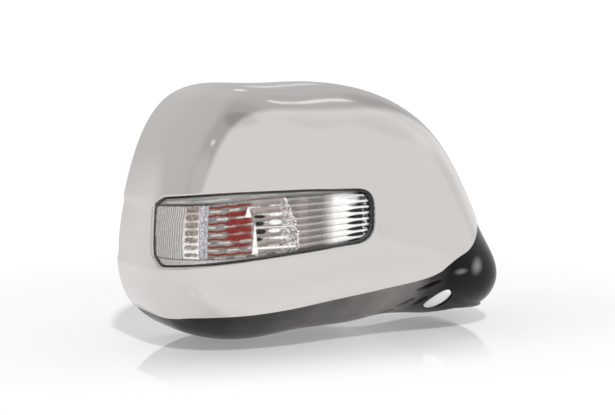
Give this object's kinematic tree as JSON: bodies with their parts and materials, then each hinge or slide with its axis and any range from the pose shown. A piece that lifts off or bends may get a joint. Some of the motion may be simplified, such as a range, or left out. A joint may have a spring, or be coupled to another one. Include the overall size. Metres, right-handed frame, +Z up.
{
  "type": "car side mirror",
  "caption": "Power-folding car side mirror head: bright upper cover with a wrap-round turn-signal lamp, black lower cover, adjustable glass and an upright fold axis at its inner end.",
  "frame": {"origin": "on the fold axis, at the face of the pivot base that bolts to the door's bracket", "axes": "+X inboard towards the car, +Y to the car's rear (the glass faces it), +Z up"},
  "size_m": [0.2858, 0.1081, 0.1791],
  "materials": {
    "bright_plating": "bright chrome plating on plastic",
    "gloss_black": "gloss black",
    "clear_lens": "clear, polished",
    "amber_bulb": "tinted glass",
    "amber_diode": "encapsulated diode",
    "seal_rubber": "matt",
    "lead_sheath": "matt",
    "mirror_coating": "polished",
    "heater_film": "matt film",
    "die_casting": "as cast",
    "dark_plastic": "fine grain",
    "grey_plastic": "matt",
    "nylon": "satin",
    "steel": "zinc plated"
  },
  "bodies": {
    "base": {"pivot_base": "die_casting", "thrust_washer": "nylon", "fold_wheel": "nylon", "clutch_spring": "steel", "spring_cap": "steel", "retaining_clip": "steel"},
    "head": {"adjuster_case_front": "dark_plastic", "adjuster_case_rear": "dark_plastic", "adjuster_lead": "lead_sheath", "adjuster_screw_1": "steel", "adjuster_screw_2": "steel", "adjuster_screw_3": "steel", "bulb_holder": "dark_plastic", "chrome_cover": "bright_plating", "cover_screw_1": "steel", "cover_screw_2": "steel", "cover_screw_3": "steel", "fold_cap": "dark_plastic", "fold_case": "die_casting", "fold_motor": "steel", "fold_screw_1": "steel", "fold_screw_2": "steel", "glass_bezel": "gloss_black", "head_connector": "grey_plastic", "inner_frame": "dark_plastic", "lamp_body": "dark_plastic", "lamp_bulb": "amber_bulb", "lamp_lead": "lead_sheath", "lamp_lens": "clear_lens", "lamp_reflector": "bright_plating", "lamp_seal": "seal_rubber", "lower_cover": "gloss_black", "pan_motor": "steel", "puddle_cup": "dark_plastic", "puddle_diode": "amber_diode", "puddle_lens": "clear_lens", "tilt_motor": "steel"},
    "gimbal": {"gimbal_ring": "nylon"},
    "glass": {"mirror_glass": "mirror_coating", "heater_foil": "heater_film", "glass_carrier": "dark_plastic"},
    "tilt_plunger_body": {"tilt_plunger": "nylon"},
    "tilt_wheel_body": {"tilt_wheel": "nylon"},
    "tilt_worm_body": {"tilt_worm": "steel"},
    "pan_plunger_body": {"pan_plunger": "nylon"},
    "pan_wheel_body": {"pan_wheel": "nylon"},
    "pan_worm_body": {"pan_worm": "steel"},
    "fold_worm_body": {"fold_worm": "steel"}
  },
  "joints": [
    {"name": "fold", "type": "hinge", "parent": "base", "child": "head", "pos_m": [0, 0, 0.029], "axis": [0, 0, 1], "range_deg": [-60, 45]},
    {"name": "glass_pan", "type": "hinge", "parent": "head", "child": "gimbal", "pos_m": [-0.121, 0.024, 0.076], "axis": [0, 0, 1], "range_deg": [-8.5, 8.5]},
    {"name": "glass_tilt", "type": "hinge", "parent": "gimbal", "child": "glass", "pos_m": [-0.121, 0.024, 0.076], "axis": [1, 0, 0], "range_deg": [-8.5, 8.5]},
    {"name": "tilt_plunger_slide", "type": "slide", "parent": "head", "child": "tilt_plunger_body", "axis": [0, 1, 0], "range_m": [-0.0039, 0.0039]},
    {"name": "tilt_wheel_spin", "type": "hinge", "parent": "head", "child": "tilt_wheel_body", "pos_m": [-0.121, 0.007, 0.05], "axis": [0, 1, 0], "range_deg": [-140, 140]},
    {"name": "tilt_worm_spin", "type": "hinge", "parent": "head", "child": "tilt_worm_body", "pos_m": [-0.121, 0.007, 0.0628], "axis": [1, 0, 0], "range_deg": [-3360, 3360]},
    {"name": "pan_plunger_slide", "type": "slide", "parent": "head", "child": "pan_plunger_body", "axis": [0, 1, 0], "range_m": [-0.0039, 0.0039]},
    {"name": "pan_wheel_spin", "type": "hinge", "parent": "head", "child": "pan_wheel_body", "pos_m": [-0.147, 0.007, 0.076], "axis": [0, 1, 0], "range_deg": [-140, 140]},
    {"name": "pan_worm_spin", "type": "hinge", "parent": "head", "child": "pan_worm_body", "pos_m": [-0.1342, 0.007, 0.076], "axis": [0, 0, 1], "range_deg": [-3360, 3360]},
    {"name": "fold_worm_spin", "type": "hinge", "parent": "head", "child": "fold_worm_body", "pos_m": [0, -0.016, 0.029], "axis": [1, 0, 0], "range_deg": [-1921, 1441]}
  ],
  "couplings": [
    {"joint": "tilt_plunger_slide", "follows": "glass_tilt", "m_per_rad": 0.026},
    {"joint": "tilt_wheel_spin", "follows": "glass_tilt", "ratio": 16.336},
    {"joint": "tilt_worm_spin", "follows": "glass_tilt", "ratio": -392.07},
    {"joint": "pan_plunger_slide", "follows": "glass_pan", "m_per_rad": -0.026},
    {"joint": "pan_wheel_spin", "follows": "glass_pan", "ratio": -16.336},
    {"joint": "pan_worm_spin", "follows": "glass_pan", "ratio": -392.07},
    {"joint": "fold_worm_spin", "follows": "fold", "ratio": 32}
  ]
}
